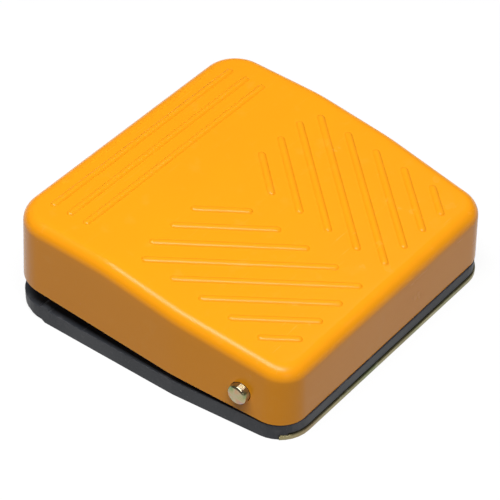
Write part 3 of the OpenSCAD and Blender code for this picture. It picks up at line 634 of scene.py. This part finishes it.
def to_rest(point):
    """The same for the shell, whose heel and toe walls lean."""
    x, y, z = point
    share = y / cover["length"]
    angle = cover["heel_lean"] * (1 - share) + cover["toe_lean"] * share
    return tilted((x, y + (z - cover["lean_from"]) * math.tan(angle), z))


def cover_shell():
    """The hollow cover as one closed skin, from the inner roof down, round the edge and up outside."""
    work = bmesh.new()
    outer = shell_loops(0, 0, cover["edge_r"], 0)
    inner = shell_loops(cover["wall"], cover["roof"], cover["edge_r"] - 1, 0)
    chain = list(reversed(inner)) + outer
    rings = [[work.verts.new(to_rest(p)) for p in loop] for loop in chain]
    for low, high in zip(rings, rings[1:]):
        for i in range(len(low)):
            k = (i + 1) % len(low)
            work.faces.new((low[i], low[k], high[k], high[i]))
    for ring, flip, roof in ((rings[0], True, cover["roof"]), (rings[-1], False, 0)):
        y = cover["length"] / 2
        middle = work.verts.new(to_rest((0, y, top_height(y) - roof)))
        for i in range(len(ring)):
            k = (i + 1) % len(ring)
            corners = (ring[k], ring[i], middle) if flip else (ring[i], ring[k], middle)
            work.faces.new(corners)
    bmesh.ops.recalc_face_normals(work, faces=work.faces)
    return work


def cut(work, cutter):
    """Takes the cutter's volume out of the mesh."""
    objects = []
    for name, shape in (("stock", work), ("cutter", cutter)):
        bmesh.ops.recalc_face_normals(shape, faces=shape.faces)
        mesh = bpy.data.meshes.new(name)
        shape.to_mesh(mesh)
        shape.free()
        objects.append(bpy.data.objects.new(name, mesh))
        scene.collection.objects.link(objects[-1])
    stock, tool = objects
    change = stock.modifiers.new("cut", "BOOLEAN")
    change.operation, change.solver, change.object = "DIFFERENCE", "EXACT", tool
    result = bpy.data.meshes.new_from_object(stock.evaluated_get(bpy.context.evaluated_depsgraph_get()))
    for item in objects:
        bpy.data.objects.remove(item)
    left = bmesh.new()
    left.from_mesh(result)
    return left


amber = surface("amber_gloss", (0.94, 0.345, 0.0065), (0.92, 0.335, 0.0065), (0.95, 0.47, 0.08),
                (0.22, 0.27), 900, 0.000006, scuffs=0.08, wear=0.0, edge=0.0001, patch=35, specular=0.22)
# The pin's bore opens into a slightly wider recess in each side wall.
bore = {"r": 2.55, "deep": 4.6, "recess_r": 2.64, "recess": 1, "past": 2}
holes = bmesh.new()
for side in (1, -1):
    outer = half_width(cover["pin_from_heel"])
    bottom, step, past = outer - bore["deep"], outer - bore["recess"], outer + bore["past"]
    turned(holes, [(0, bottom), (bore["r"], bottom), (bore["r"], step), (bore["recess_r"], step),
                   (bore["recess_r"], past), (0, past)],
           lambda a, b, x: tilted((side * x, cover["pin_from_heel"] + a, cover["edge_drop"] + b)), 64)
# The cable's notch is an arch, open below, cut from outside through the toe wall.
notch = {"width": 14.0, "top": 15.4, "edge": 5.3, "outside": 4, "inside": 6}
arch = notch["width"] / 2
springing = notch["top"] - arch - notch["edge"]
form = [(arch, -1), (arch, springing)]
form += [(arch * math.cos(math.pi * i / 24), springing + arch * math.sin(math.pi * i / 24))
         for i in range(1, 24)]
form += [(-arch, springing), (-arch, -1)]
front, back = ([holes.verts.new(tilted((x, y, z))) for x, z in form]
               for y in (cover["length"] + notch["outside"], cover["length"] - notch["inside"]))
holes.faces.new(front)
holes.faces.new(list(reversed(back)))
for i in range(len(form)):
    k = (i + 1) % len(form)
    holes.faces.new((front[k], front[i], back[i], back[k]))
put("pedal_cover_moulding", cut(cover_shell(), holes), amber, "pedal",
    ("pedal_cover",), 40)


# ---------------------------------------------------------------- inside of the cover
# Under the roof stand the bearing bosses, the spring sockets, the webs and the
# boss of the adjusting screw, all of the same moulding.
inside = bmesh.new()
spring_low, spring_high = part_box("return_spring_right")
socket = {"x": (spring_low[0] + spring_high[0]) / 2 / MM, "y": 57.6, "bore": 5.6, "outer": 6.8,
          "mouth": 8.1, "seat": 12.3, "below_top": 1.4}
bearing = {"r": 4.7, "start": 3.4, "end": 1.2}
# Each web stands so far from the middle, and runs from one distance to another from the heel.
webs = ((12.0, 12.3, 73.2), (31.0, 21.3, 69.2))
web_half, web_in_roof, web_depth = 0.7, 0.6, 3
for side in (1, -1):
    wall = half_width(cover["pin_from_heel"])
    start, end = wall - bearing["start"], wall - bearing["end"]
    turned(inside, [(bore["r"], start), (bearing["r"], start), (bearing["r"], end), (bore["r"], end)],
           lambda a, b, x: tilted((side * x, cover["pin_from_heel"] + a, cover["edge_drop"] + b)))
    top = top_height(socket["y"]) - socket["below_top"]
    turned(inside, [(0, socket["seat"]), (socket["bore"], socket["seat"]),
                    (socket["bore"], socket["mouth"]), (socket["outer"], socket["mouth"]),
                    (socket["outer"], top), (0, top)],
           lambda a, b, z: tilted((side * socket["x"] + a, socket["y"] + b, z)))
    for x, start, end in webs:
        run = [start, cover["bend_from_heel"], end]
        sheet = []
        for across in (x - web_half, x + web_half):
            ring = [(side * across, y, top_height(y) - cover["roof"] + web_in_roof) for y in run]
            ring += [(side * across, y, top_height(y) - cover["roof"] - web_depth) for y in reversed(run)]
            sheet.append([inside.verts.new(tilted(p)) for p in ring])
        for k, ring in enumerate(sheet):
            inside.faces.new(ring if k else list(reversed(ring)))
        for i in range(6):
            j = (i + 1) % 6
            inside.faces.new((sheet[0][i], sheet[0][j], sheet[1][j], sheet[1][i]))
screw_boss = {"y": 45.6, "low": 16.3, "bore": 1.5, "r": 3.5, "below_top": 1.2}
low, top = screw_boss["low"], top_height(screw_boss["y"]) - screw_boss["below_top"]
turned(inside, [(screw_boss["bore"], low), (screw_boss["r"], low), (screw_boss["r"], top),
                (screw_boss["bore"], top)],
       lambda a, b, z: tilted((a, screw_boss["y"] + b, z)), 48)
bmesh.ops.recalc_face_normals(inside, faces=inside.faces)
put("cover_inner_bosses", inside, amber, "pedal", (), 35)


# ---------------------------------------------------------------- adjusting screw
# A steel grub screw in the cover presses the switch's lever, and a thin nut
# keeps its setting.
eased("adjusting_screw", bright_steel, 0.08)
eased("adjusting_nut", bright_steel, 0.15)


# ---------------------------------------------------------------- tread ribs
# Raised bars of the same moulding, half round with round ends: three straight
# ones near the toe and two slanting fields, mirrored about the middle.
tread = {"section": 2.3, "height": 0.5, "shorter": 0.65,
         "long_count": 3, "long_half": 33.0, "long_first": 73.9, "long_pitch": 4.95,
         "count": 8, "slant": math.radians(48.2), "gap": 3.8, "reach": 33.4, "pitch": 8.33,
         "first": 34.4, "low": 6.3, "high": 49.0}


def rib_lines():
    """Both ends of each rib's centre line, straight ribs first, in cover sizes."""
    t = tread
    lines = []
    for i in range(t["long_count"]):
        y = t["long_first"] - i * t["long_pitch"]
        lines.append(((-t["long_half"], y), (t["long_half"], y)))
    climb = math.tan(t["slant"])
    for side in (1, -1):
        for i in range(t["count"]):
            y = t["first"] - i * t["pitch"]
            inner = max(t["gap"], (t["low"] - y) / climb)
            outer = min(t["reach"], (t["high"] - y) / climb)
            lines.append(((side * inner, y + climb * inner), (side * outer, y + climb * outer)))
    return lines


def rib_guide(start, end):
    """A rib's centre line, sunk under the top so that an arc stands out, round at both ends."""
    r, depth = tread["section"] / 2, tread["section"] / 2 - tread["height"]
    run = math.dist(start, end)
    ux, uy = (end[0] - start[0]) / run, (end[1] - start[1]) / run
    first, last = tread["shorter"], run - tread["shorter"]
    turns = [math.pi / 2 * i / 8 for i in range(1, 8)]
    stops = [(first - r * math.cos(a), math.sin(a)) for a in turns]
    stops += [(first + (last - first) * i / 24, 1.0) for i in range(25)]
    stops += [(last + r * math.cos(a), math.sin(a)) for a in reversed(turns)]
    guide = []
    for along, taper in stops:
        x, y = start[0] + ux * along, start[1] + uy * along
        guide.append((tilted((x, y, top_height(y) - depth)), taper))
    return guide


swept("tread_ribs", [rib_guide(*line) for line in rib_lines()], tread["section"], tread["section"],
      40, amber, "pedal")
